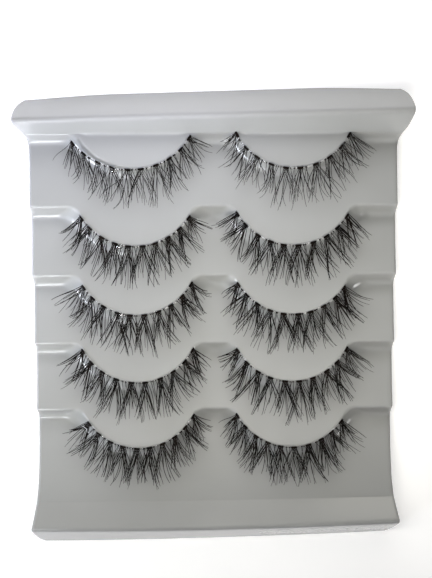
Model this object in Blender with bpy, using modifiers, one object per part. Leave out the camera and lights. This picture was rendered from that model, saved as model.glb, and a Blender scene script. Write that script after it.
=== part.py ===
"""Five pairs of false eyelash strips on a thermoformed display tray.

Metres, +Z up.  The tray lies on its two end skirts at z = 0, +Y is its
upper end, +X its right-hand column.  The origin is the middle of the
footprint, on the surface that the tray stands on.

The tray is one thin sheet.  Five tiers climb towards -Y like roof tiles;
the lower edge of each tier carries two round lobes, and every lobe holds one
strip just under its rim.  Sizes below are millimetres, scaled by MM at the
end.
"""
import math

import bmesh
import bpy
from mathutils import Vector

MM = 0.001

# ---------------------------------------------------------------- tray sizes
SHEET = 0.60            # wall of the sheet
HALF_WIDTH = 44.0       # body, edge to middle
HALF_LENGTH = 56.6      # skirt edge to middle
RIDGE_CROSS = 11.2      # where a rail's wall and skirt would meet unrounded
LIP_DROP = 0.50         # side edges turn down by this much
LIP_RUN = 0.60          # width of the turned edge

# one row for each tier: where it starts (its valley) and where it ends (its
# lower edge), and the height of both
TIERS = (
    # y_valley, y_edge, z_valley, z_edge
    (44.95, 30.30, 2.0, 5.6),
    (27.10, 13.58, 2.0, 5.6),
    (10.38, -3.14, 2.0, 5.6),
    (-6.34, -19.86, 2.0, 5.6),
    (-23.06, -43.40, 2.0, 7.4),
)

# one row for each row of lobes: the line they hang from, the height of their
# circle's centre above that line, and the plan width of the riser below them
LOBE_X = 18.8           # lobe centre, either side of the middle
LOBE_R = 15.3           # rim radius
LOBE_FILLET = 1.8       # blend between a lobe and its line at the top
FOOT_FILLET = 0.6       # how much wider that blend gets for each mm outward
STEPS = (
    # y_line, centre_above, run
    (46.90, 7.20, 2.10),
    (29.75, 6.05, 2.75),
    (13.03, 6.05, 2.75),
    (-3.69, 6.05, 2.75),
    (-20.41, 6.05, 2.75),
)
FIRST_RISER = 3.40      # the top lobes stand this far above the first tier
SHOULDER = 0.45         # rounding at the rim of a riser
TOE = 1.0               # rounding at its foot

# end rails: profile points of the outer surface, upper end then lower end
TOP_WALL_FOOT = (46.90, 4.92)
TOP_RIDGE_Y = 50.80
BOTTOM_WALL_FOOT = (-43.40, 7.40)
BOTTOM_RIDGE_Y = -49.15
RIDGE_ROUND = 0.9

# half width of the trimmed outline along Y, outside the straight body
OUTLINE = (
    # y, half_width
    (-58.0, 42.2), (-56.5, 43.3), (-56.0, 44.2), (-55.2, 44.9),
    (-54.0, 45.3), (-52.0, 45.6), (-49.2, 45.7), (-47.0, 45.2),
    (-43.4, 44.55), (-39.0, 44.15), (-34.0, 44.0), (40.0, 44.0),
    (43.2, 44.05), (45.3, 44.35), (46.9, 45.0), (48.4, 46.0),
    (49.8, 46.6), (51.3, 46.85), (52.8, 46.85), (53.8, 46.65),
    (54.6, 46.3), (55.2, 45.8), (55.7, 45.0), (56.0, 44.2),
    (58.5, 43.0),
)

# where the sheet is trimmed at each end, by distance from the middle; what
# is left below the standing plane comes off, so each skirt stands on the
# middle part of its edge
TOP_TRIM = (
    # x, y
    (0.0, 58.2), (15.0, 58.2), (27.0, 56.6), (34.0, 56.3), (40.0, 56.0),
    (44.0, 55.75),
)
LOW_TRIM = (
    # x, y
    (0.0, -58.0), (28.0, -58.0), (36.0, -56.6), (44.0, -56.25),
)

# the rails aren't quite square with the steps: how far lines at some places
# along Y run out of true, as a shift, a slope and a bow along X
RAIL_LINES = (
    # y, shift, slope, bow
    (56.60, 0.03, 0.0246, 0.0),
    (50.80, 0.40, 0.0204, 0.0),
    (46.90, 0.0, 0.0, 0.0),
    (-37.00, 0.0, 0.0, 0.0),
    (-49.15, -0.68, 0.0125, 0.00030),
    (-56.60, -0.25, 0.0195, 0.00022),
)

# ---------------------------------------------------------- lash strip sizes
BAND_THICK = 0.35
BAND_WIDE = 0.80
BAND_OUT = -0.05        # band's middle, out from the rim along the ground
PLAY = 0.32             # gap between pieces that lie on each other
FRINGE_START = 1.12     # where the fringe begins, out from the band's middle
FRINGE_THICK = 0.70     # depth of the layer of crossing hairs
FRINGE_CURL = 2.0       # how far the tips rise above the band

# one row for each strip: lobe row, side (-1 left, +1 right), the angles of
# the band's two ends from straight down (left end negative), how far its
# left end has come off the lobe, and the fringe's reach from the band at its
# left end, middle and right end
STRIPS = (
    # name, row, side, left_deg, right_deg, peel, len_left, len_mid, len_right
    ("l1", 0, -1, -58.0, 58.0, 1.9, 6.8, 9.4, 5.4),
    ("r1", 0, 1, -60.5, 60.5, 0.0, 5.1, 9.4, 7.0),
    ("l2", 1, -1, -57.0, 56.0, 0.0, 7.6, 9.8, 5.7),
    ("r2", 1, 1, -60.0, 57.0, 0.0, 5.2, 9.8, 7.4),
    ("l3", 2, -1, -56.0, 58.0, 0.0, 7.6, 10.0, 5.5),
    ("r3", 2, 1, -58.0, 54.0, 0.0, 5.5, 10.0, 7.4),
    ("l4", 3, -1, -60.5, 60.5, 0.0, 7.4, 10.0, 5.2),
    ("r4", 3, 1, -59.5, 59.5, 0.0, 5.3, 10.0, 7.4),
    ("l5", 4, -1, -53.0, 60.0, 0.0, 7.6, 9.8, 5.3),
    ("r5", 4, 1, -60.0, 53.0, 0.0, 5.3, 9.8, 7.4),
)


# ------------------------------------------------------------- small helpers
def lerp(a, b, t):
    return a + (b - a) * t


def smoothstep(t):
    t = min(1.0, max(0.0, t))
    return t * t * (3.0 - 2.0 * t)


def table(rows, key):
    """Linear reading of a two-column table, its keys ascending."""
    if key <= rows[0][0]:
        return rows[0][1]
    for (k0, v0), (k1, v1) in zip(rows, rows[1:]):
        if key <= k1:
            return lerp(v0, v1, (key - k0) / (k1 - k0))
    return rows[-1][1]


def smin(a, b, k):
    """Smaller of two distances, blended where they are within k."""
    h = max(0.0, k - abs(a - b)) / k
    return min(a, b) - h * h * k * 0.25


def tier_plane(index, y):
    y0, y1, z0, z1 = TIERS[index]
    return z0 + (y0 - y) * (z1 - z0) / (y0 - y1)


# --------------------------------------------------------------- tray surface
def step_distance(index, x, y):
    """Distance outward from the raised part of one row of lobes."""
    y_line, above, _ = STEPS[index]
    from_line = y_line - y
    from_lobe = math.hypot(abs(x) - LOBE_X, y - (y_line + above)) - LOBE_R
    near = min(4.0, max(0.0, min(from_line, from_lobe)))
    return smin(from_line, from_lobe, LOBE_FILLET + FOOT_FILLET * near)


def riser_share(d, run):
    """1 on the raised part, 0 on the tier below, rounded at both ends."""
    if d <= -SHOULDER:
        return 1.0
    if d >= run + TOE:
        return 0.0
    slope = 1.0 / run
    if d < SHOULDER:
        return 1.0 - slope * (d + SHOULDER) ** 2 / (4.0 * SHOULDER)
    if d > run - TOE:
        return slope * (run + TOE - d) ** 2 / (4.0 * TOE)
    return 1.0 - slope * d


def rail_height(y, y_foot, z_foot, y_ridge, y_edge):
    """Wall, ridge and skirt of one end rail, its ridge rounded off."""
    side = 1.0 if y_ridge > y_foot else -1.0
    u = (y - y_ridge) * side
    up = (RIDGE_CROSS - z_foot) / abs(y_ridge - y_foot)
    down = RIDGE_CROSS / abs(y_edge - y_ridge)
    r = RIDGE_ROUND
    peak = RIDGE_CROSS
    if u <= -r:
        return peak + up * u
    if u >= r:
        return peak - down * u
    t = (u + r) / (2.0 * r)
    return peak - up * r + 2.0 * r * (up * t - (up + down) * t * t * 0.5)


def tray_height(x, y):
    """Height of the tray's upper surface over a point of its plan."""
    if y >= TOP_WALL_FOOT[0]:
        return rail_height(y, TOP_WALL_FOOT[0], TOP_WALL_FOOT[1],
                           TOP_RIDGE_Y, HALF_LENGTH)
    if y <= BOTTOM_WALL_FOOT[0]:
        return rail_height(y, BOTTOM_WALL_FOOT[0], BOTTOM_WALL_FOOT[1],
                           BOTTOM_RIDGE_Y, -HALF_LENGTH)
    z = tier_plane(0, y) + FIRST_RISER
    for index, (_, _, run) in enumerate(STEPS):
        share = riser_share(step_distance(index, x, y), run)
        z = lerp(tier_plane(index, y), z, share)
    return z


def row_y(index, x, d):
    """The y at which a vertical line at x has distance d from step index."""
    y_line, above, _ = STEPS[index]
    low, high = y_line - LOBE_R - 8.0, y_line + 2.0
    for _ in range(40):
        mid = 0.5 * (low + high)
        if step_distance(index, x, mid) > d:
            low = mid
        else:
            high = mid
    return 0.5 * (low + high)


def column_places():
    """Plan x of the mesh columns: fine round the lobes, coarse elsewhere."""
    right = [0.0, 1.9]
    half = math.degrees(math.acos(5.5 / LOBE_R))
    angles = (-74.0, -67.0, -59.0, -48.0, -36.0, -24.0, -12.0,
              0.0, 12.0, 24.0, 36.0, 48.0, 59.0, 67.0, 74.0)
    for a in angles:
        a = max(-half - 12.0, min(half + 12.0, a))
        right.append(LOBE_X + (LOBE_R + 0.5) * math.sin(math.radians(a)))
    right += [36.6, 39.6, HALF_WIDTH - LIP_RUN]
    return [-x for x in reversed(right[1:])] + right


def trimmed(x, y):
    """A rail row's y, drawn in where the sheet is trimmed shorter."""
    if y > 51.5:
        share = (y - 51.5) / (TOP_TRIM[0][1] - 51.5)
        return lerp(51.5, table(TOP_TRIM, abs(x)), share)
    if y < -50.2:
        share = (y + 50.2) / (LOW_TRIM[0][1] + 50.2)
        return lerp(-50.2, table(LOW_TRIM, abs(x)), share)
    return y


def build_tray_sheet():
    """The upper surface as an open mesh, one quad row between level lines."""
    columns = column_places()
    rail_top = [58.2, 57.1, 55.9, 54.7, 53.1, 51.5, 51.0, 50.4, 49.6, 48.3]
    rail_low = [-46.4, -48.4, -48.95, -49.5, -50.2, -52.6, -54.9, -56.6,
                -58.0]
    lines = []
    for y in rail_top:
        lines.append([trimmed(x, y) for x in columns])
    lines.append([46.95] * len(columns))
    for index in range(5):
        run = STEPS[index][2]
        for d in (-0.42, 0.30, run - 0.80, run + 0.85):
            lines.append([row_y(index, x, d) for x in columns])
        foot = lines[-1]
        if index < 4:
            nxt = [row_y(index + 1, x, -0.42) for x in columns]
            for t in (0.5,):
                lines.append([lerp(a, b, t) for a, b in zip(foot, nxt)])
    foot = lines[-1]
    for t in (0.5, 1.0):
        lines.append([lerp(a, BOTTOM_WALL_FOOT[0], t) for a in foot])
    for y in rail_low:
        lines.append([trimmed(x, y) for x in columns])
    # first step: keep its rim rows below the wall's foot line
    for j in range(1, 5):
        row = lines[len(rail_top) + j]
        above = lines[len(rail_top) + j - 1]
        for i in range(len(columns)):
            row[i] = min(row[i], above[i] - 0.45)

    bm = bmesh.new()
    grid = []
    for ys in lines:
        row = []
        for x, y in zip(columns, ys):
            row.append(place(x, y))
        for side in (-1, 1):
            # two more columns: the edge turned down
            x, y = side * (HALF_WIDTH - LIP_RUN), ys[0 if side < 0 else -1]
            px, py, pz = place(x, y)
            drop = LIP_DROP * smoothstep(tray_height(x, y) / 4.0)
            extra = [(px + side * LIP_RUN * 0.55, py, pz - 0.25 * drop),
                     (px + side * LIP_RUN, py, pz - drop)]
            row = extra[::-1] + row if side < 0 else row + extra
        grid.append([bm.verts.new([c * MM for c in p]) for p in row])
    for upper, lower in zip(grid, grid[1:]):
        for i in range(len(upper) - 1):
            bm.faces.new((upper[i], lower[i], lower[i + 1], upper[i + 1]))
    mesh = bpy.data.meshes.new("tray")
    bm.to_mesh(mesh)
    bm.free()
    return mesh


def out_of_true(x, y):
    """How far a point moves along Y because its rail isn't quite square."""
    shifts = [(at, a + b * x + c * x * x) for at, a, b, c in RAIL_LINES]
    if y >= shifts[0][0]:
        return shifts[0][1]
    for (y0, s0), (y1, s1) in zip(shifts, shifts[1:]):
        if y >= y1:
            return lerp(s0, s1, smoothstep((y0 - y) / (y0 - y1)))
    return shifts[-1][1]


def place(x, y):
    """Widen or narrow the outer columns to the trimmed outline."""
    grow = table(OUTLINE, y) - HALF_WIDTH
    share = smoothstep((abs(x) - 24.0) / (HALF_WIDTH - LIP_RUN - 24.0))
    return (x + grow * share * (1.0 if x > 0.0 else -1.0),
            y + out_of_true(x, y), tray_height(x, y))


# ----------------------------------------------------------------- the strips
def rim_frame(row, side, degrees):
    """A point on a lobe's riser under its rim: place, outward, normal."""
    y_line, above, _ = STEPS[row]
    a = math.radians(degrees)
    out = (math.sin(a), -math.cos(a))
    x = side * LOBE_X + (LOBE_R + BAND_OUT) * out[0]
    y = y_line + above + (LOBE_R + BAND_OUT) * out[1]
    e = 0.05
    normal = Vector((tray_height(x - e, y) - tray_height(x + e, y),
                     tray_height(x, y - e) - tray_height(x, y + e),
                     2.0 * e)).normalized()
    return (Vector((x, y + out_of_true(x, y), tray_height(x, y))),
            Vector((*out, 0.0)), normal)


def peel_at(peel, degrees, left):
    """How far a strip's loose left end has come away from the lobe."""
    return peel * max(0.0, (left + 80.0 - degrees) / 80.0) ** 2


def loft(name, sections, closed_ends=True):
    """A closed solid through sections of equal numbers of points."""
    bm = bmesh.new()
    rings = [[bm.verts.new([c * MM for c in p]) for p in s] for s in sections]
    count = len(rings[0])
    for r0, r1 in zip(rings, rings[1:]):
        for i in range(count):
            j = (i + 1) % count
            bm.faces.new((r0[i], r0[j], r1[j], r1[i]))
    if closed_ends:
        bm.faces.new(rings[0][::-1])
        bm.faces.new(rings[-1])
    bmesh.ops.recalc_face_normals(bm, faces=bm.faces)
    mesh = bpy.data.meshes.new(name)
    bm.to_mesh(mesh)
    bm.free()
    return mesh


def build_band(name, row, side, left, right, peel):
    sections = []
    count = 13
    for i in range(count):
        a = lerp(left, right, i / (count - 1.0))
        point, out, normal = rim_frame(row, side, a)
        point += out * peel_at(peel, a, left)
        down = (out - normal * out.dot(normal)).normalized()
        section = []
        for w, t in ((-1, -1), (1, -1), (1, 1), (-1, 1)):
            section.append(point + down * (w * BAND_WIDE * 0.5)
                           + normal * (PLAY + BAND_THICK * (t + 1) * 0.5))
        sections.append(section)
    return loft(name, sections)


def build_fringe(name, row, side, left, right, peel,
                 len_left, len_mid, len_right):
    """Outer form of the hair layer: a thin fan that curls up at its tips."""
    count = 13
    reach = (0.0, 0.5, 1.0)
    sections = []
    for i in range(count):
        t = i / (count - 1.0)
        a = lerp(left - 2.0, right + 2.0, t)
        point, out, _ = rim_frame(row, side, a)
        point += out * peel_at(peel, a, left)
        end = len_left if t < 0.5 else len_right
        middle = 1.0 - abs(2.0 * t - 1.0) ** 2.6
        length = lerp(end, len_mid, middle)
        lower, upper = [], []
        for q in reach:
            p = point + out * lerp(FRINGE_START, length, q)
            rise = 0.40 + FRINGE_CURL * q ** 1.7 * lerp(0.55, 1.0, middle)
            half = FRINGE_THICK * 0.5 * (1.0 - 0.35 * q)
            ground = tray_height(p.x, p.y - out_of_true(p.x, p.y))
            low = max(p.z + rise - half, ground + PLAY + 0.06)
            lower.append((p.x, p.y, low))
            upper.append((p.x, p.y, low + 2.0 * half))
        sections.append(lower + upper[::-1])
    return loft(name, sections)


# ------------------------------------------------------------------ materials
def material(name, colour, roughness, alpha=1.0):
    mat = bpy.data.materials.new(name)
    mat.use_nodes = True
    shader = mat.node_tree.nodes["Principled BSDF"]
    shader.inputs["Base Color"].default_value = colour + (1.0,)
    shader.inputs["Roughness"].default_value = roughness
    shader.inputs["Metallic"].default_value = 0.0
    shader.inputs["Alpha"].default_value = alpha
    mat.diffuse_color = colour + (1.0,)
    return mat


def add(mesh, collection, mat):
    obj = bpy.data.objects.new(mesh.name, mesh)
    mesh.materials.append(mat)
    collection.objects.link(obj)
    return obj


def main():
    for obj in list(bpy.data.objects):
        bpy.data.objects.remove(obj)
    parts = bpy.data.collections.new("eyelash_strips_in_tray")
    cutters = bpy.data.collections.new("cutters")
    bpy.context.scene.collection.children.link(parts)
    bpy.context.scene.collection.children.link(cutters)

    plastic = material("tray_plastic", (0.50, 0.51, 0.51), 0.16)
    clear = material("clear_band", (0.55, 0.56, 0.56), 0.20)
    hair = material("lash_fibre", (0.018, 0.015, 0.013), 0.42)

    tray = add(build_tray_sheet(), parts, plastic)
    solid = tray.modifiers.new("sheet", "SOLIDIFY")
    solid.thickness = SHEET * MM
    solid.offset = -1.0
    solid.use_even_offset = True

    # everything below the standing plane comes off, which leaves the two
    # skirts with flat edges to stand on
    bpy.ops.mesh.primitive_cube_add(size=1.0, location=(0.0, 0.0, -0.010))
    below = bpy.context.object
    below.name = "below_standing_plane"
    below.scale = (0.2, 0.2, 0.020)
    for coll in list(below.users_collection):
        coll.objects.unlink(below)
    cutters.objects.link(below)
    below.hide_render = True
    below.display_type = "WIRE"
    cut = tray.modifiers.new("flat_feet", "BOOLEAN")
    cut.operation = "DIFFERENCE"
    cut.solver = "EXACT"
    cut.object = below

    for name, row, side, left, right, peel, *lengths in STRIPS:
        where = (row, side, left, right, peel)
        add(build_band("lash_band_" + name, *where), parts, clear)
        add(build_fringe("lash_fringe_" + name, *where, *lengths),
            parts, hair)


main()
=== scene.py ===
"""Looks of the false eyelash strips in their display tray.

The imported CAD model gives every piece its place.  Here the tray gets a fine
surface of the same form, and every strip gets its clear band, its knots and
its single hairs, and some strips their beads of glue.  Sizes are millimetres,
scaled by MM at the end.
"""
import math
import random

import bpy
import numpy as np
from mathutils import Matrix, Vector


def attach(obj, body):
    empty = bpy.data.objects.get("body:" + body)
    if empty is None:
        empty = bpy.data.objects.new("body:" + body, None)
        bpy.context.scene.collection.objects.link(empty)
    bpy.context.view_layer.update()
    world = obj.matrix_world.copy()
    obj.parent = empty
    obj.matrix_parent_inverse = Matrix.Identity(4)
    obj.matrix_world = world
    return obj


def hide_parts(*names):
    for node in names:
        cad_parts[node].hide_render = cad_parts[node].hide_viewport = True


MM = 0.001

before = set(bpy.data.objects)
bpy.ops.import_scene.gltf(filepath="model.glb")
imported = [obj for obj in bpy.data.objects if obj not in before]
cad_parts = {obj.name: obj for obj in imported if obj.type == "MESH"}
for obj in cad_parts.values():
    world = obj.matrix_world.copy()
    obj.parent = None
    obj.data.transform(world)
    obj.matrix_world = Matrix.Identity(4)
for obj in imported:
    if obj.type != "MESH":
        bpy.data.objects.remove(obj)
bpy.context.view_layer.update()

# ------------------------------------------------------- sizes of the CAD part
HALF_WIDTH = 44.0
HALF_LENGTH = 56.6
RIDGE_CROSS = 11.2
LIP_DROP = 0.50
LIP_RUN = 0.60
TIERS = (
    # y_valley, y_edge, z_valley, z_edge
    (44.95, 30.30, 2.0, 5.6),
    (27.10, 13.58, 2.0, 5.6),
    (10.38, -3.14, 2.0, 5.6),
    (-6.34, -19.86, 2.0, 5.6),
    (-23.06, -43.40, 2.0, 7.4),
)
LOBE_X = 18.8
LOBE_R = 15.3
LOBE_FILLET = 1.8
FOOT_FILLET = 0.6
STEPS = (
    # y_line, centre_above, run
    (46.90, 7.20, 2.10),
    (29.75, 6.05, 2.75),
    (13.03, 6.05, 2.75),
    (-3.69, 6.05, 2.75),
    (-20.41, 6.05, 2.75),
)
FIRST_RISER = 3.40
SHOULDER = 0.45
TOE = 1.0
TOP_WALL_FOOT = (46.90, 4.92)
VALLEY_ROUND = 1.0       # the lobes' meeting with the upper wall
TOP_RIDGE_Y = 50.80
BOTTOM_WALL_FOOT = (-43.40, 7.40)
BOTTOM_RIDGE_Y = -49.15
RIDGE_ROUND = 0.9
OUTLINE = (
    # y, half_width
    (-58.0, 42.2), (-56.5, 43.3), (-56.0, 44.2), (-55.2, 44.9),
    (-54.0, 45.3), (-52.0, 45.6), (-49.2, 45.7), (-47.0, 45.2),
    (-43.4, 44.55), (-39.0, 44.15), (-34.0, 44.0), (40.0, 44.0),
    (43.2, 44.05), (45.3, 44.35), (46.9, 45.0), (48.4, 46.0),
    (49.8, 46.6), (51.3, 46.85), (52.8, 46.85), (53.8, 46.65),
    (54.6, 46.3), (55.2, 45.8), (55.7, 45.0), (56.0, 44.2),
    (58.5, 43.0),
)
TOP_TRIM = (
    # x, y
    (0.0, 56.6), (27.0, 56.6), (34.0, 56.3), (40.0, 56.0), (44.0, 55.75),
)
LOW_TRIM = (
    # x, y
    (0.0, -56.6), (36.0, -56.6), (44.0, -56.25),
)
RAIL_LINES = (
    # y, shift, slope, bow
    (56.60, 0.03, 0.0246, 0.0),
    (50.80, 0.40, 0.0204, 0.0),
    (46.90, 0.0, 0.0, 0.0),
    (-37.00, 0.0, 0.0, 0.0),
    (-49.15, -0.68, 0.0125, 0.00030),
    (-56.60, -0.25, 0.0195, 0.00022),
)
BAND_OUT = -0.05
STRIPS = (
    # name, row, side, left_deg, right_deg, peel, len_left, len_mid, len_right
    ("l1", 0, -1, -58.0, 58.0, 1.9, 6.8, 9.4, 5.4),
    ("r1", 0, 1, -60.5, 60.5, 0.0, 5.1, 9.4, 7.0),
    ("l2", 1, -1, -57.0, 56.0, 0.0, 7.6, 9.8, 5.7),
    ("r2", 1, 1, -60.0, 57.0, 0.0, 5.2, 9.8, 7.4),
    ("l3", 2, -1, -56.0, 58.0, 0.0, 7.6, 10.0, 5.5),
    ("r3", 2, 1, -58.0, 54.0, 0.0, 5.5, 10.0, 7.4),
    ("l4", 3, -1, -60.5, 60.5, 0.0, 7.4, 10.0, 5.2),
    ("r4", 3, 1, -59.5, 59.5, 0.0, 5.3, 10.0, 7.4),
    ("l5", 4, -1, -53.0, 60.0, 0.0, 7.6, 9.8, 5.3),
    ("r5", 4, 1, -60.0, 53.0, 0.0, 5.3, 9.8, 7.4),
)

# ------------------------------------------------- sizes that only show here
SHEET = 0.50            # wall of the sheet, square to its surface
KNOTS = 10              # hair clusters on each band
KNOT_LONG = 1.55
KNOT_WIDE = 0.62
KNOT_THICK = 0.42
BAND_WIDE = 0.62
BAND_THICK = 0.20
BAND_LIFT = 0.30        # middle of the band, square to the riser
HAIR_ROOT = 0.096       # radius of a hair at its root
HAIR_TIP = 0.048
HAIR_CURL = 2.0

# which way the bunches lean at the two ends of each strip, in degrees
LEAN = {
    "l1": (-6.0, 40.0), "r1": (-36.0, 38.0),
    "l2": (-38.0, 38.0), "r2": (-40.0, 38.0),
    "l3": (-34.0, 40.0), "r3": (-38.0, 42.0),
    "l4": (-36.0, 40.0), "r4": (-42.0, 40.0),
    "l5": (-44.0, 38.0), "r5": (-36.0, 34.0),
}

# one row for each bead of clear glue: strip, angle, how far out from the
# band, its half width and half height
GLUE = (
    # strip, degrees, out, across, along
    ("l1", -17.0, 0.55, 0.95, 0.85),
    ("l2", -14.0, 0.45, 0.90, 0.80),
    ("l3", -13.0, 0.15, 1.20, 0.50),
    ("r1", -29.0, 0.35, 0.60, 0.45),
    ("r1", 35.0, 1.50, 0.50, 0.38),
    ("r1", 60.0, 1.10, 0.50, 0.38),
    ("r2", 36.0, 0.90, 0.50, 0.40),
    ("r5", 52.0, 0.35, 0.90, 0.42),
    ("l4", 20.0, 0.20, 0.50, 0.35),
)


# ------------------------------------------------------------- small helpers
def lerp(a, b, t):
    return a + (b - a) * t


def smoothstep(t):
    t = np.clip(t, 0.0, 1.0)
    return t * t * (3.0 - 2.0 * t)


def smin(a, b, k):
    h = np.maximum(0.0, k - np.abs(a - b)) / k
    return np.minimum(a, b) - h * h * k * 0.25


def outline_at(y):
    """Half width of the outline, its table's corners rounded off."""
    keys, values = zip(*OUTLINE)
    y = np.asarray(y, float)
    total = np.zeros_like(y)
    weights = ((-0.5, 0.12), (-0.25, 0.22), (0.0, 0.32), (0.25, 0.22),
               (0.5, 0.12))
    for shift, weight in weights:
        total = total + weight * np.interp(y + shift, keys, values)
    return total


# --------------------------------------------------------------- tray surface
def tier_plane(index, y):
    y0, y1, z0, z1 = TIERS[index]
    return z0 + (y0 - y) * (z1 - z0) / (y0 - y1)


def step_distance(index, x, y):
    y_line, above, _ = STEPS[index]
    from_line = y_line - y
    from_lobe = np.hypot(np.abs(x) - LOBE_X, y - (y_line + above)) - LOBE_R
    near = np.clip(np.minimum(from_line, from_lobe), 0.0, 4.0)
    return smin(from_line, from_lobe, LOBE_FILLET + FOOT_FILLET * near)


def riser_share(d, run):
    slope = 1.0 / run
    near = 1.0 - slope * (d + SHOULDER) ** 2 / (4.0 * SHOULDER)
    far = slope * (run + TOE - d) ** 2 / (4.0 * TOE)
    share = np.where(d < SHOULDER, near,
                     np.where(d > run - TOE, far, 1.0 - slope * d))
    return np.where(d <= -SHOULDER, 1.0, np.where(d >= run + TOE, 0.0, share))


def rail_height(y, y_foot, z_foot, y_ridge, y_edge):
    side = 1.0 if y_ridge > y_foot else -1.0
    u = (y - y_ridge) * side
    up = (RIDGE_CROSS - z_foot) / abs(y_ridge - y_foot)
    down = RIDGE_CROSS / abs(y_edge - y_ridge)
    r = RIDGE_ROUND
    peak = RIDGE_CROSS
    t = (u + r) / (2.0 * r)
    top = peak - up * r + 2.0 * r * (up * t - (up + down) * t * t * 0.5)
    return np.where(u <= -r, peak + up * u, np.where(u >= r, peak - down * u, top))


def tray_height(x, y):
    """Height of the tray's upper surface over points of its plan."""
    x, y = np.broadcast_arrays(np.asarray(x, float), np.asarray(y, float))
    z = tier_plane(0, y) + FIRST_RISER
    for index, (_, _, run) in enumerate(STEPS):
        share = riser_share(step_distance(index, x, y), run)
        z = lerp(tier_plane(index, y), z, share)
    top = rail_height(y, TOP_WALL_FOOT[0], TOP_WALL_FOOT[1], TOP_RIDGE_Y,
                      HALF_LENGTH)
    lobe = smoothstep(-step_distance(0, x, np.full_like(y, 45.6)) / 1.5)
    near = np.maximum(VALLEY_ROUND - np.abs(top - z), 0.0) ** 2 \
        / (4.0 * VALLEY_ROUND) * lobe * (np.abs(y - TOP_WALL_FOOT[0]) < 2.0)
    low = rail_height(y, BOTTOM_WALL_FOOT[0], BOTTOM_WALL_FOOT[1],
                      BOTTOM_RIDGE_Y, -HALF_LENGTH)
    z = np.where(y >= TOP_WALL_FOOT[0], top, z) + near
    return np.where(y <= BOTTOM_WALL_FOOT[0], low, z)


def row_y(index, x, d):
    """The y at which vertical lines at x have distance d from a step."""
    y_line = STEPS[index][0]
    low = np.full_like(x, y_line - LOBE_R - 8.0)
    high = np.full_like(x, y_line + 2.0)
    for _ in range(40):
        mid = 0.5 * (low + high)
        over = step_distance(index, x, mid) > d
        low = np.where(over, mid, low)
        high = np.where(over, high, mid)
    return 0.5 * (low + high)


def grown(x, y):
    """Plan x after the outline's growth towards the rails."""
    grow = outline_at(y) - HALF_WIDTH
    share = smoothstep((np.abs(x) - 24.0) / (HALF_WIDTH - LIP_RUN - 24.0))
    return x + grow * share * np.sign(x)


def out_of_true(x, y):
    """How far a point moves along Y because its rail isn't quite square."""
    shifts = [(at, a + b * x + c * x * x) for at, a, b, c in RAIL_LINES]
    total = shifts[0][1] + 0.0 * y
    for (y0, s0), (y1, s1) in zip(shifts, shifts[1:]):
        part = lerp(s0, s1, smoothstep((y0 - y) / (y0 - y1)))
        total = np.where(y < y0, part, total)
    return total


def trim_at(x, rows):
    keys, values = zip(*rows)
    reach = 0.0
    for shift, weight in ((-3.0, 0.25), (0.0, 0.5), (3.0, 0.25)):
        reach = reach + weight * np.interp(np.abs(x) + shift, keys, values)
    return reach


def tray_columns():
    """Plan x of the columns: closest where a lobe's rim is steepest."""
    half = [0.0]
    edge = HALF_WIDTH - LIP_RUN
    while half[-1] < edge:
        off = abs(half[-1] - LOBE_X)
        if 10.5 < off < 17.6:
            step = 0.26
        elif off <= 10.5:
            step = 0.46
        else:
            step = 0.50
        half.append(half[-1] + step)
    half = np.array(half)
    half = half * (edge / half[-1])
    if len(half) % 2 == 0:
        half = np.sort(np.append(half, 0.5 * (half[-1] + half[-2])))
    return np.concatenate([-half[:0:-1], half])


def tray_rows(x):
    """Lines of y along the tray, each following the forms it crosses."""
    rows = []

    def level(y):
        rows.append(np.full_like(x, y))

    def between(a, b, count):
        for i in range(1, count + 1):
            rows.append(lerp(a, b, i / (count + 1.0)))

    end = trim_at(x, TOP_TRIM)
    for share in 1.0 - np.linspace(0.0, 1.0, 17)[:-1] ** 1.25:
        rows.append(51.95 + (end - 51.95) * share)
    for y in np.linspace(51.95, 49.6, 15):
        level(y)
    for y in (49.3, 48.8, 48.3, 47.9, 47.5, 47.25, 47.08, 46.95):
        level(y)
    rim = (-1.1, -0.62, -0.42, -0.28, -0.14, 0.0, 0.14, 0.28, 0.42, 0.62)
    wide = (-1.0, -0.78, -0.56, -0.34, -0.12, 0.12, 0.34, 0.56, 0.78, 1.0, 1.5)
    for index in range(5):
        run = STEPS[index][2]
        offsets = list(rim) + list(np.linspace(0.62, run - 1.0, 5)[1:-1])
        offsets += [run + w for w in wide]
        lines = [row_y(index, x, d) for d in offsets]
        if index == 0:
            # the first rows share a place with the wall's foot, so they are
            # kept below it in order
            above = rows[-1]
            last = above
            for k, line in enumerate(lines):
                lines[k] = np.minimum(line, last - 0.07)
                last = lines[k]
        if index == 0:
            for share in (0.022, 0.05, 0.09, 0.16, 0.32, 0.50, 0.68, 0.84):
                rows.append(lerp(above, lines[0], share))
        else:
            between(rows[-1], lines[0], 8)
        rows.extend(lines)
    between(rows[-1], np.full_like(x, -43.05), 14)
    for y in (-43.05, -43.25, -43.40, -43.55, -43.75, -44.1, -44.8, -45.6,
              -46.4, -47.2, -47.8):
        level(y)
    for y in np.linspace(-48.1, -50.3, 14):
        level(y)
    end = trim_at(x, LOW_TRIM)
    for share in 1.0 - (1.0 - np.linspace(0.0, 1.0, 18)[1:]) ** 1.25:
        rows.append(-50.3 + (end + 50.3) * share)
    if len(rows) % 2 == 0:
        rows.insert(-1, 0.5 * (rows[-1] + rows[-2]))
    return np.array(rows)


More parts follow.
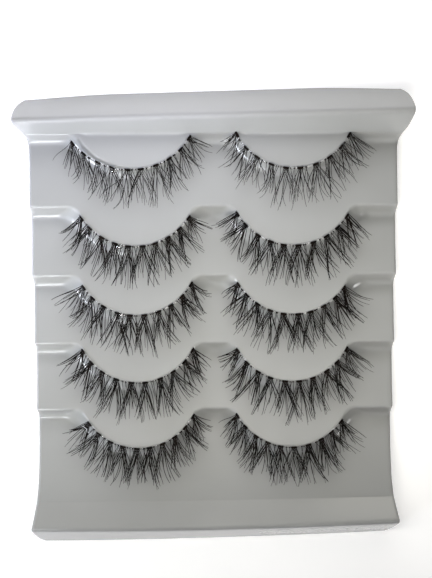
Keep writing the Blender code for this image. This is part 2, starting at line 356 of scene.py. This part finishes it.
def tray_mesh():
    x = tray_columns()
    ys = tray_rows(x)
    xs = np.broadcast_to(x, ys.shape)
    px, pz = grown(xs, ys), tray_height(xs, ys)
    # the turned-down side edges: more columns beyond the last one
    parts_x, parts_y, parts_z = [px], [ys], [pz]
    lip = (0.22, 0.45, 0.65, 0.82, 0.94, 1.0)
    for side in (-1, 1):
        end = 0 if side < 0 else -1
        ey, ex, ez = ys[:, end], px[:, end], pz[:, end]
        drop = LIP_DROP * smoothstep(ez / 4.0)
        cols = []
        for u in lip:
            cols.append((ex + side * LIP_RUN * u, ey, ez - drop * u ** 2.2))
        if side < 0:
            cols = cols[::-1]
        block = [np.stack([c[k] for c in cols], 1) for k in range(3)]
        place = 0 if side < 0 else len(parts_x)
        parts_x.insert(place, block[0])
        parts_y.insert(place, block[1])
        parts_z.insert(place, block[2])
    gx = np.concatenate(parts_x, 1)
    gy = np.concatenate(parts_y, 1)
    gz = np.maximum(np.concatenate(parts_z, 1), 0.0)

    # underside: every second row and column, straight below by as much as
    # keeps the wall even, and no lower than the standing plane
    foot = HALF_LENGTH - 0.44
    skirt = np.abs(gy) > 54.0
    uy = np.where(skirt, np.sign(gy)
                  * lerp(54.0, foot, (np.abs(gy) - 54.0) / 2.6), gy)
    slope = np.gradient(gz, axis=0) / np.minimum(np.gradient(gy, axis=0), -1e-4)
    wall = SHEET * np.minimum(np.hypot(1.0, slope), 1.7)
    fall = RIDGE_CROSS / np.where(gy > 0, HALF_LENGTH - TOP_RIDGE_Y,
                                  HALF_LENGTH + BOTTOM_RIDGE_Y)
    over = np.where(skirt, gz + fall * (np.abs(gy) - np.abs(uy)), gz)
    uz = np.maximum(over - wall, 0.0)
    gy, uy = gy + out_of_true(gx, gy), uy + out_of_true(gx, uy)
    rows, cols = gx.shape
    top = np.stack([gx, gy, gz], -1).reshape(-1, 3)
    ux = gx[::2, ::2]
    low = np.stack([ux, uy[::2, ::2], uz[::2, ::2]], -1)
    lrows, lcols = ux.shape
    low = low.reshape(-1, 3)
    base = len(top)

    def t_id(r, c):
        return r * cols + c

    def l_id(r, c):
        return base + r * lcols + c

    faces = []
    for r in range(rows - 1):
        for c in range(cols - 1):
            faces.append((t_id(r, c), t_id(r + 1, c), t_id(r + 1, c + 1),
                          t_id(r, c + 1)))
    for r in range(lrows - 1):
        for c in range(lcols - 1):
            faces.append((l_id(r, c), l_id(r, c + 1), l_id(r + 1, c + 1),
                          l_id(r + 1, c)))
    # the cut edge all round, two fine segments to each coarse one
    for c in range(lcols - 1):
        a, b, m = t_id(0, 2 * c), t_id(0, 2 * c + 2), t_id(0, 2 * c + 1)
        faces += [(a, m, l_id(0, c)), (m, b, l_id(0, c + 1)),
                  (m, l_id(0, c + 1), l_id(0, c))]
        r = rows - 1
        a, b, m = t_id(r, 2 * c), t_id(r, 2 * c + 2), t_id(r, 2 * c + 1)
        q = lrows - 1
        faces += [(m, a, l_id(q, c)), (b, m, l_id(q, c + 1)),
                  (l_id(q, c + 1), m, l_id(q, c))]
    for r in range(lrows - 1):
        a, b, m = t_id(2 * r, 0), t_id(2 * r + 2, 0), t_id(2 * r + 1, 0)
        faces += [(m, a, l_id(r, 0)), (b, m, l_id(r + 1, 0)),
                  (l_id(r + 1, 0), m, l_id(r, 0))]
        c = cols - 1
        a, b, m = t_id(2 * r, c), t_id(2 * r + 2, c), t_id(2 * r + 1, c)
        q = lcols - 1
        faces += [(a, m, l_id(r, q)), (m, b, l_id(r + 1, q)),
                  (m, l_id(r + 1, q), l_id(r, q))]
    return np.concatenate([top, low]), faces


# ------------------------------------------------------------- mesh builders
def new_piece(name, points, faces, material, smooth=True, sharp=None):
    mesh = bpy.data.meshes.new(name)
    mesh.from_pydata((np.asarray(points) * MM).tolist(), [], faces)
    mesh.update()
    if smooth:
        mesh.shade_smooth()
    if sharp is not None:
        mesh.set_sharp_from_angle(angle=math.radians(sharp))
    mesh.materials.append(material)
    obj = bpy.data.objects.new(name, mesh)
    bpy.context.scene.collection.objects.link(obj)
    return obj


class Soup:
    """Points and faces of many small forms that make one piece."""

    def __init__(self):
        self.points, self.faces, self.count = [], [], 0

    def add(self, points, faces):
        self.points.append(points)
        self.faces += [tuple(i + self.count for i in f) for f in faces]
        self.count += len(points)

    def tube(self, path, radii, sides=5, flat=1.0, wide_axis=None):
        """A closed tube along a path; flat squeezes it along its normal."""
        n = len(path)
        along = np.gradient(path, axis=0)
        along /= np.linalg.norm(along, axis=1)[:, None]
        if wide_axis is None:
            across = np.cross(along, (0.0, 0.0, 1.0))
        else:
            across = wide_axis - along * (along * wide_axis).sum(1)[:, None]
        across /= np.linalg.norm(across, axis=1)[:, None]
        normal = np.cross(across, along)
        angle = 2.0 * math.pi * np.arange(sides) / sides
        ring = (path[:, None, :]
                + radii[:, None, None]
                * (np.cos(angle)[None, :, None] * across[:, None, :]
                   + flat * np.sin(angle)[None, :, None] * normal[:, None, :]))
        faces = []
        for i in range(n - 1):
            for k in range(sides):
                m = (k + 1) % sides
                faces.append((i * sides + k, i * sides + m,
                              (i + 1) * sides + m, (i + 1) * sides + k))
        faces.append(tuple(range(sides))[::-1])
        faces.append(tuple((n - 1) * sides + k for k in range(sides)))
        self.add(ring.reshape(-1, 3), faces)

    def piece(self, name, material, **options):
        return new_piece(name, np.concatenate(self.points), self.faces,
                         material, **options)


# ----------------------------------------------------------------- the strips
def band_point(strip, degrees):
    """A point on the riser under a strip: place, outward, tangent, normal."""
    _, row, side, left, _, peel = strip[:6]
    y_line, above, _ = STEPS[row]
    a = math.radians(degrees)
    out = np.array((math.sin(a), -math.cos(a), 0.0))
    x = side * LOBE_X + (LOBE_R + BAND_OUT) * out[0]
    y = y_line + above + (LOBE_R + BAND_OUT) * out[1]
    e = 0.05
    near = tray_height(np.array((x - e, x + e, x, x, x)),
                       np.array((y, y, y - e, y + e, y)))
    normal = np.array((near[0] - near[1], near[2] - near[3], 2.0 * e))
    normal /= np.linalg.norm(normal)
    point = np.array((x, y + float(out_of_true(x, y)), near[4]))
    off = peel * max(0.0, (left + 80.0 - degrees) / 80.0) ** 2
    point = point + out * off
    tangent = np.array((math.cos(a), math.sin(a), 0.0))
    return point, out, tangent, normal


def heading(degrees):
    a = math.radians(degrees)
    return np.array((math.sin(a), -math.cos(a)))


def hair_length(t, turn, outer, inner, middle_length):
    """Reach of a bunch: shorter at the ends, most where it turns outward."""
    middle = 1.0 - abs(2.0 * t - 1.0) ** 2.6
    outward = turn * (1.0 if t > 0.5 else -1.0)
    end = lerp(inner, outer, 0.5 + 0.5 * outward)
    return lerp(end, middle_length, middle), middle


def add_hair(soup, strip, rng, root, start_deg, tip, end_deg, middle,
             thick=1.0, lift=0.0, curl=1.0):
    """One hair: a plan curve from root to tip, lifted as it goes out."""
    start, end = root[:2], np.asarray(tip)
    reach = np.linalg.norm(end - start)
    p1 = start + heading(start_deg) * reach * 0.36
    p2 = end - heading(end_deg) * reach * 0.36
    n = 12
    t = np.linspace(0.0, 1.0, n)[:, None]
    plan = ((1 - t) ** 3 * start + 3 * t * (1 - t) ** 2 * p1
            + 3 * t * t * (1 - t) * p2 + t ** 3 * end)
    q = t[:, 0] * min(1.0, reach / 9.0) ** 0.35
    rise = HAIR_CURL * curl * q ** 1.7 * lerp(0.55, 1.0, middle)
    z = root[2] + rise + lift * np.sin(math.pi * np.clip(t[:, 0], 0, 1) * 0.8)
    x, y = plan[:, 0], plan[:, 1]
    ground = tray_height(x, y - out_of_true(x, y))
    z = np.minimum(np.maximum(z, ground + 0.16), 10.6)
    path = np.concatenate([plan, z[:, None]], 1)
    radii = thick * lerp(HAIR_ROOT, HAIR_TIP, t[:, 0] ** 2.2) \
        * lerp(0.66, 1.0, smoothstep(t[:, 0] / 0.30))
    soup.tube(path, radii, sides=5)


def build_hairs(strip, material):
    name, row, side, left, right, _, reach_left, reach_mid, reach_right = strip
    rng = random.Random("lash strip " + name)
    lean_left, lean_right = LEAN[name]
    soup = Soup()
    loose = 1.0 if row else 1.5
    fine = 1.0 if row else 0.84
    previous = None
    for k in range(KNOTS):
        t = k / (KNOTS - 1.0)
        at = lerp(left + 1.0, right - 1.0, t) + rng.uniform(-0.8, 0.8)
        point, out, tangent, normal = band_point(strip, at)
        centre = point + normal * 0.44
        far = abs(2.0 * t - 1.0)
        axis = (lean_left if t < 0.5 else lean_right) * far ** 1.15 \
            + rng.uniform(-3.0, 3.0)
        outward = 0.0 if abs(at) < 12.0 else math.copysign(1.0, at)
        outer = reach_left if t < 0.5 else reach_right
        inner = 0.5 * (outer + reach_mid)

        # the knot: a flat bar of wound fibre
        count = 9
        u = np.linspace(-1.0, 1.0, count)
        bar = centre + np.outer(u * KNOT_LONG * 0.5, tangent) \
            + np.outer(-0.04 * u * u, out)
        radii = KNOT_WIDE * 0.5 * (1.0 - 0.45 * np.abs(u) ** 6)
        radii = radii * np.array([rng.uniform(0.92, 1.06) for _ in u])
        wide = np.broadcast_to(out - normal * out.dot(normal), bar.shape)
        soup.tube(bar, radii, sides=10, flat=KNOT_THICK / KNOT_WIDE,
                  wide_axis=wide)

        # two bunches that part and cross the neighbours', and some between
        spread = lerp(18.0, 21.0, far ** 2) * rng.uniform(0.85, 1.15)
        for turn in (-1, 0, 1):
            reach, middle = hair_length(t, turn, outer, inner, reach_mid)
            if turn:
                hairs = rng.choice((5, 6, 6, 7)) if row else \
                    rng.choice((4, 4, 5, 5))
                reach *= rng.uniform(0.84, 1.06)
                aim = axis + turn * spread * rng.uniform(0.75, 1.25)
                gather = rng.choice((0.5, 0.8, 1.1, 1.5)) * loose
            else:
                hairs = rng.choice((3, 4, 4)) if row else \
                    rng.choice((2, 3, 3))
                reach *= rng.uniform(0.78, 0.98)
                aim = axis + rng.uniform(-6.0, 6.0)
                gather = 1.5
            hook = outward * rng.uniform(0.0, 18.0) \
                + rng.uniform(-9.0, 9.0) * loose
            if not outward:
                hook = rng.choice((-1, 1)) * rng.uniform(2.0, 16.0) * loose
            across = heading(aim + 90.0)
            for i in range(hairs):
                place = 2.0 * (i + rng.uniform(0.1, 0.9)) / hairs - 1.0
                u = 0.70 * place
                root = centre + tangent * u + out * rng.uniform(0.05, 0.28) \
                    + normal * rng.uniform(-0.10, 0.14)
                own = reach * (1.05 - 0.46 * rng.random() ** 1.6)
                # the bunch's hairs run side by side and close up at its tip
                tip = centre[:2] + out[:2] * 0.1 + heading(aim) * own \
                    + across * gather * (place * 0.85
                                         + rng.gauss(0.0, 0.30))
                start = aim - 0.35 * hook + rng.gauss(0.0, 6.0)
                end = aim + hook + rng.gauss(0.0, 7.0 * loose)
                add_hair(soup, strip, rng, root, start, tip, end, middle,
                         thick=fine * rng.uniform(0.80, 1.12),
                         lift=rng.uniform(-0.10, 0.30) + 0.10 * turn)
        for _ in range(rng.choice((0, 1, 1, 2))):
            # a single hair that strays
            reach, middle = hair_length(t, 0, outer, inner, reach_mid)
            aim = axis + rng.choice((-1, 1)) * rng.uniform(6.0, 30.0)
            own = reach * rng.uniform(0.85, 1.08)
            root = centre + tangent * rng.uniform(-0.5, 0.5) + out * 0.1
            tip = centre[:2] + heading(aim) * own
            add_hair(soup, strip, rng, root, aim - rng.uniform(-14, 14), tip,
                     aim + outward * rng.uniform(5.0, 30.0)
                     + rng.uniform(-16.0, 16.0),
                     middle, thick=0.78, lift=rng.uniform(0.1, 0.4))

        # fine single hairs from the thread between two knots
        if previous is not None:
            for _ in range(3):
                share = rng.uniform(0.30, 0.70)
                b = lerp(previous, at, share)
                p, o, tan, nor = band_point(strip, b)
                root = p + nor * 0.42
                dot = np.array([root - o * 0.15, root, root + o * 0.20])
                soup.tube(dot, np.array((0.13, 0.17, 0.08)), sides=6)
                reach, middle = hair_length(t, 0, outer, inner, reach_mid)
                own = reach * rng.uniform(0.38, 0.86)
                aim = axis + rng.uniform(-20.0, 20.0)
                tip = root[:2] + heading(aim) * own
                add_hair(soup, strip, rng, root + o * 0.05,
                         aim + rng.uniform(-10.0, 10.0), tip,
                         aim + rng.uniform(-15.0, 15.0), middle,
                         thick=0.76, lift=rng.uniform(-0.15, 0.15))
        previous = at
    return soup.piece("lash_hairs_" + name, material)


def build_clear_band(strip, material):
    name, row, side, left, right = strip[:5]
    soup = Soup()
    n = 73
    path, wide = [], []
    rng = random.Random("band " + name)
    phase = rng.uniform(0.0, 6.0)
    for i in range(n):
        t = i / (n - 1.0)
        at = lerp(left - 2.2, right + 2.2, t)
        point, out, tangent, normal = band_point(strip, at)
        wave = 0.05 * math.sin(t * 21.0 + phase)
        path.append(point + normal * BAND_LIFT + out * wave)
        wide.append(out - normal * out.dot(normal))
    ends = np.minimum(np.linspace(0, 1, n), np.linspace(1, 0, n)) * (n - 1)
    radii = BAND_WIDE * 0.5 * np.clip(0.45 + 0.35 * ends, 0.0, 1.0)
    soup.tube(np.array(path), radii, sides=10, flat=BAND_THICK / BAND_WIDE,
              wide_axis=np.array(wide))
    return soup.piece("clear_band_" + name, material)


def build_glue(strip, rows, material):
    """Beads of clear glue that hold a strip to its lobe."""
    soup = Soup()
    rng = random.Random("glue " + strip[0])
    for _, degrees, off, across, along in rows:
        point, out, tangent, normal = band_point(strip, degrees)
        down = out - normal * out.dot(normal)
        down /= np.linalg.norm(down)
        centre = point + down * off + normal * 0.22
        rings, segments = 10, 18
        phase = rng.uniform(0.0, 6.0)
        points, faces = [centre + normal * along * 0.85], []
        for r in range(1, rings):
            a = math.pi * r / rings
            for s in range(segments):
                b = 2.0 * math.pi * s / segments
                bulge = 1.0 + 0.09 * math.sin(2 * b + phase) \
                    + 0.05 * math.sin(3 * b - phase)
                flat = 0.85 if a < math.pi / 2 else 0.28
                points.append(centre
                              + tangent * across * bulge * math.sin(a) * math.cos(b)
                              + down * along * bulge * math.sin(a) * math.sin(b)
                              + normal * along * flat * math.cos(a))
        points.append(centre - normal * along * 0.28)
        last = len(points) - 1
        for s in range(segments):
            m = (s + 1) % segments
            faces.append((0, 1 + s, 1 + m))
            for r in range(rings - 2):
                p, q = 1 + r * segments, 1 + (r + 1) * segments
                faces.append((p + s, q + s, q + m, p + m))
            p = 1 + (rings - 2) * segments
            faces.append((p + m, p + s, last))
        soup.add(np.array(points), faces)
    return soup.piece("glue_beads_" + strip[0], material)


# ------------------------------------------------------------------ materials
class Nodes:
    """A few short names for building a node tree."""

    def __init__(self, name):
        self.material = bpy.data.materials.new(name)
        self.material.use_nodes = True
        self.tree = self.material.node_tree
        self.shader = self.tree.nodes["Principled BSDF"]
        coords = self.tree.nodes.new("ShaderNodeTexCoord")
        self.place = coords.outputs["Object"]

    def link(self, a, b):
        self.tree.links.new(a, b)

    def stretched(self, scale, turn=0.0):
        node = self.tree.nodes.new("ShaderNodeMapping")
        node.inputs["Scale"].default_value = scale
        node.inputs["Rotation"].default_value = (0.0, 0.0, turn)
        self.link(self.place, node.inputs["Vector"])
        return node.outputs["Vector"]

    def noise(self, scale, detail=2.0, rough=0.5, vector=None, warp=0.0):
        node = self.tree.nodes.new("ShaderNodeTexNoise")
        node.inputs["Scale"].default_value = scale
        node.inputs["Detail"].default_value = detail
        node.inputs["Roughness"].default_value = rough
        node.inputs["Distortion"].default_value = warp
        self.link(vector or self.place, node.inputs["Vector"])
        return node.outputs["Fac"]

    def span(self, value, low, high, to_low, to_high):
        node = self.tree.nodes.new("ShaderNodeMapRange")
        node.inputs["From Min"].default_value = low
        node.inputs["From Max"].default_value = high
        node.inputs["To Min"].default_value = to_low
        node.inputs["To Max"].default_value = to_high
        self.link(value, node.inputs["Value"])
        return node.outputs["Result"]

    def math(self, operation, a, b):
        node = self.tree.nodes.new("ShaderNodeMath")
        node.operation = operation
        for socket, value in zip(node.inputs, (a, b)):
            if isinstance(value, (int, float)):
                socket.default_value = value
            else:
                self.link(value, socket)
        return node.outputs["Value"]

    def mix(self, share, a, b):
        node = self.tree.nodes.new("ShaderNodeMix")
        node.data_type = "RGBA"
        self.link(share, node.inputs["Factor"])
        for socket, value in ((node.inputs["A"], a), (node.inputs["B"], b)):
            pass
        colours = [s for s in node.inputs if s.type == "RGBA"]
        for socket, value in zip(colours, (a, b)):
            if isinstance(value, tuple):
                socket.default_value = value + (1.0,)
            else:
                self.link(value, socket)
        return [s for s in node.outputs if s.type == "RGBA"][0]

    def bump(self, height, distance, strength=1.0, under=None):
        node = self.tree.nodes.new("ShaderNodeBump")
        node.inputs["Strength"].default_value = strength
        node.inputs["Distance"].default_value = distance
        self.link(height, node.inputs["Height"])
        if under is not None:
            self.link(under, node.inputs["Normal"])
        return node.outputs["Normal"]

    def to(self, socket, value):
        if isinstance(value, (int, float, tuple)):
            self.shader.inputs[socket].default_value = value
        else:
            self.link(value, self.shader.inputs[socket])


def tray_plastic():
    n = Nodes("tray_plastic_look")
    cloud = n.noise(34.0, 3.0, 0.5)
    tone = n.mix(n.span(cloud, 0.30, 0.70, 0.0, 1.0),
                 (0.276, 0.281, 0.277), (0.292, 0.297, 0.294))
    speck = n.noise(2600.0, 1.0, 0.5)
    tone = n.mix(n.span(speck, 0.72, 0.80, 0.0, 0.35), tone,
                 (0.30, 0.30, 0.29))
    n.to("Base Color", tone)
    scratch = n.noise(1.0, 2.0, 0.6, n.stretched((2600.0, 46.0, 400.0), 0.35))
    fine = n.span(scratch, 0.60, 0.74, 0.0, 1.0)
    haze = n.span(n.noise(70.0, 3.0, 0.55), 0.3, 0.7, 0.11, 0.17)
    n.to("Roughness", n.math("ADD", haze, n.math("MULTIPLY", fine, 0.07)))
    wave = n.bump(n.noise(62.0, 1.0, 0.4), 0.00016, 0.5)
    peel = n.bump(n.noise(1100.0, 2.0, 0.5), 0.000004, 0.35, wave)
    n.to("Normal", n.bump(fine, 0.000004, 0.3, peel))
    n.to("IOR", 1.50)
    return n.material


def lash_fibre():
    n = Nodes("lash_fibre_look")
    tone = n.mix(n.span(n.noise(420.0, 2.0, 0.6), 0.35, 0.70, 0.0, 1.0),
                 (0.0016, 0.0011, 0.0009), (0.0070, 0.0044, 0.0033))
    n.to("Base Color", tone)
    n.to("Roughness", n.span(n.noise(900.0, 1.0, 0.5), 0.3, 0.7, 0.34, 0.50))
    n.to("IOR", 1.48)
    n.to("Specular IOR Level", 0.10)
    return n.material


def clear_plastic():
    n = Nodes("clear_band_look")
    tone = n.mix(n.span(n.noise(300.0, 2.0, 0.5), 0.3, 0.7, 0.0, 1.0),
                 (0.42, 0.43, 0.43), (0.50, 0.51, 0.51))
    n.to("Base Color", tone)
    n.to("Roughness", n.span(n.noise(500.0, 1.0, 0.5), 0.3, 0.7, 0.18, 0.34))
    n.to("Alpha", 0.26)
    n.to("IOR", 1.49)
    n.to("Normal", n.bump(n.noise(700.0, 1.0, 0.5), 0.00003, 0.5))
    return n.material


def clear_glue():
    n = Nodes("clear_glue_look")
    tone = n.mix(n.noise(400.0, 1.0, 0.5), (0.93, 0.94, 0.94),
                 (0.98, 0.98, 0.98))
    n.to("Base Color", tone)
    n.to("Roughness", 0.03)
    n.to("Transmission Weight", 1.0)
    n.to("IOR", 1.45)
    n.to("Normal", n.bump(n.noise(620.0, 1.0, 0.5), 0.00012, 0.6))
    return n.material


def floor_paint():
    n = Nodes("floor_look")
    tone = n.mix(n.noise(9.0, 2.0, 0.5), (0.895, 0.895, 0.900),
                 (0.910, 0.910, 0.915))
    n.to("Base Color", tone)
    n.to("Roughness", 0.9)
    n.to("Specular IOR Level", 0.1)
    n.to("Emission Color", (1.0, 1.0, 1.0, 1.0))
    n.to("Emission Strength", 0.36)
    return n.material


# --------------------------------------------------------------------- pieces
plastic, fibre = tray_plastic(), lash_fibre()
clear, glue = clear_plastic(), clear_glue()

points, faces = tray_mesh()
tray = new_piece("tray_sheet", points, faces, plastic, sharp=50.0)
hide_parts("tray")
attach(tray, "root")

for strip in STRIPS:
    name = strip[0]
    band = build_clear_band(strip, clear)
    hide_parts("lash_band_" + name)
    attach(band, "root")
    hairs = build_hairs(strip, fibre)
    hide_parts("lash_fringe_" + name)
    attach(hairs, "root")
    beads = [row for row in GLUE if row[0] == name]
    if beads:
        drops = build_glue(strip, beads, glue)
        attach(drops, "root")

# ---------------------------------------------------------------------- stage
bpy.ops.mesh.primitive_plane_add(size=3.0, location=(0.0, 0.0, -0.00005))
floor = bpy.context.object
floor.name = "floor"
floor.data.materials.append(floor_paint())

world = bpy.data.worlds.new("soft_room")
bpy.context.scene.world = world
world.use_nodes = True
sky = world.node_tree.nodes["Background"]
sky.inputs["Color"].default_value = (0.97, 0.98, 1.0, 1.0)
sky.inputs["Strength"].default_value = 0.05

LIGHTS = (
    # name, place, aim, width, height, colour, watts, shown in gloss
    ("upper_end", (0.000, 0.600, 0.400),
     (0.000, 0.000, 0.000), 0.600, 0.400,
     (1.000, 0.964, 0.869), 1.7458, True),
    ("lower_end", (0.000, -0.600, 0.400),
     (0.000, 0.000, 0.000), 0.600, 0.400,
     (1.000, 0.920, 0.900), 0.6400, True),
    ("middle_fill", (0.006, -0.007, 0.090),
     (0.002, 0.050, 0.006), 0.090, 0.030,
     (1.000, 0.975, 0.900), 0.1040, False),
    ("left_near_top", (-0.100, 0.020, 0.030),
     (-0.040, 0.048, 0.006), 0.030, 0.030,
     (0.720, 0.760, 1.000), 0.0500, False),
    ("left_near_low", (-0.080, -0.060, 0.050),
     (-0.042, 0.000, 0.005), 0.040, 0.060,
     (0.900, 0.930, 1.000), 0.0030, False),
    ("left_near_mid", (-0.100, -0.020, 0.060),
     (-0.035, 0.030, 0.005), 0.040, 0.040,
     (0.998, 1.000, 0.957), 0.0360, False),
    ("left_near_glint", (-0.062, -0.088, 0.052),
     (-0.036, 0.022, 0.005), 0.024, 0.024,
     (0.930, 0.960, 1.000), 0.0042, True),
    ("upper_skirt_fill", (0.000, 0.120, 0.060),
     (0.000, 0.055, 0.006), 0.090, 0.030,
     (0.946, 0.947, 1.000), 0.0481, False),
    ("ridge_strip", (-0.022, 0.052, 0.035),
     (-0.022, 0.051, 0.011), 0.060, 0.010,
     (0.775, 0.793, 1.000), 0.0097, False),
    ("upper_wall_fill", (-0.010, 0.012, 0.045),
     (-0.010, 0.050, 0.008), 0.080, 0.015,
     (0.777, 0.876, 1.000), 0.0030, False),
    ("sparkle_left", (-0.310, -0.212, 0.110),
     (-0.020, 0.000, 0.005), 0.075, 0.060,
     (0.860, 0.920, 1.000), 0.5800, True),
    ("sparkle_right", (0.200, -0.180, 0.085),
     (0.020, 0.000, 0.005), 0.020, 0.020,
     (1.000, 1.000, 1.000), 0.0450, True),
)
for name, place, aim, width, height, colour, watts, gloss in LIGHTS:
    lamp = bpy.data.lights.new(name, "AREA")
    lamp.shape = "RECTANGLE"
    lamp.size, lamp.size_y = width, height
    lamp.color = colour
    lamp.energy = watts
    holder = bpy.data.objects.new(name, lamp)
    bpy.context.scene.collection.objects.link(holder)
    holder.location = place
    look = Vector(aim) - Vector(place)
    holder.rotation_euler = look.to_track_quat("-Z", "Y").to_euler()
    holder.visible_camera = False
    holder.visible_glossy = gloss
# this one is hooded, so that the lower skirt stays out of it
bpy.data.lights["left_near_glint"].spread = math.radians(56.0)

# --------------------------------------------------------------------- camera
DISTANCE = 0.265
TARGET = Vector((0.00038, 0.00924, 0.0040))
TILT, YAW, ROLL = (math.radians(v) for v in (10.76, -0.84, -0.304))
back = Vector((math.sin(YAW) * math.cos(TILT), math.sin(TILT),
               math.cos(YAW) * math.cos(TILT)))
right = Vector((0.0, 1.0, 0.0)).cross(back).normalized()
up = back.cross(right)
right, up = (right * math.cos(ROLL) + up * math.sin(ROLL),
             up * math.cos(ROLL) - right * math.sin(ROLL))
lens = bpy.data.cameras.new("camera")
lens.sensor_fit = "VERTICAL"
lens.sensor_height = 36.0
lens.lens = 1088.6 * 36.0 / 578.0
lens.clip_start, lens.clip_end = 0.01, 10.0
camera = bpy.data.objects.new("camera", lens)
bpy.context.scene.collection.objects.link(camera)
camera.matrix_world = Matrix((
    (right.x, up.x, back.x, TARGET.x + back.x * DISTANCE),
    (right.y, up.y, back.y, TARGET.y + back.y * DISTANCE),
    (right.z, up.z, back.z, TARGET.z + back.z * DISTANCE),
    (0.0, 0.0, 0.0, 1.0),
))
bpy.context.scene.camera = camera

bpy.context.scene.view_settings.view_transform = "Standard"
bpy.context.scene.view_settings.look = "None"
